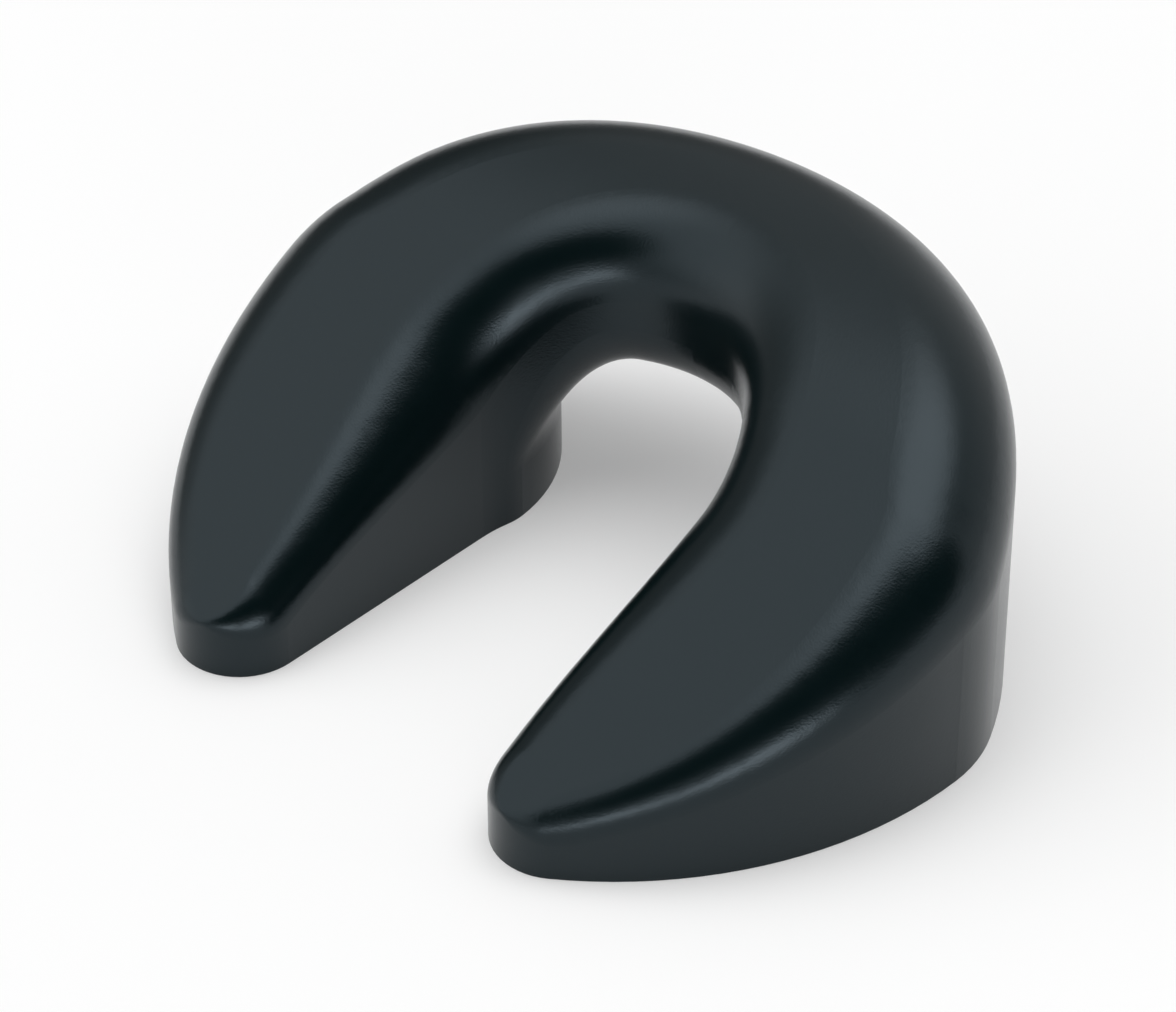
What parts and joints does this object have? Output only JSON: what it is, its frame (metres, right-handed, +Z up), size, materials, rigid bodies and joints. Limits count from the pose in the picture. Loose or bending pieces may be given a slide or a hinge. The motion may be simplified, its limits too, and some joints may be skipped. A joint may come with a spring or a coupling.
{
  "type": "through-deck pad eye",
  "caption": "Horseshoe-shaped pad eye for a boat's deck: a ramp that rises to a rounded crown, with an arched eye through the back for a line or loop.",
  "frame": {"origin": "on the deck face, at the centre of the bolt rectangle, which is also the centre of the disc that the horseshoe is cut from", "axes": "+X across the feet, +Y from the toes towards the back, +Z up from the deck"},
  "size_m": [0.103, 0.0832, 0.0419],
  "materials": {
    "anodised": "satin"
  },
  "bodies": {
    "root": {"pad_eye": "anodised"}
  },
  "joints": []
}
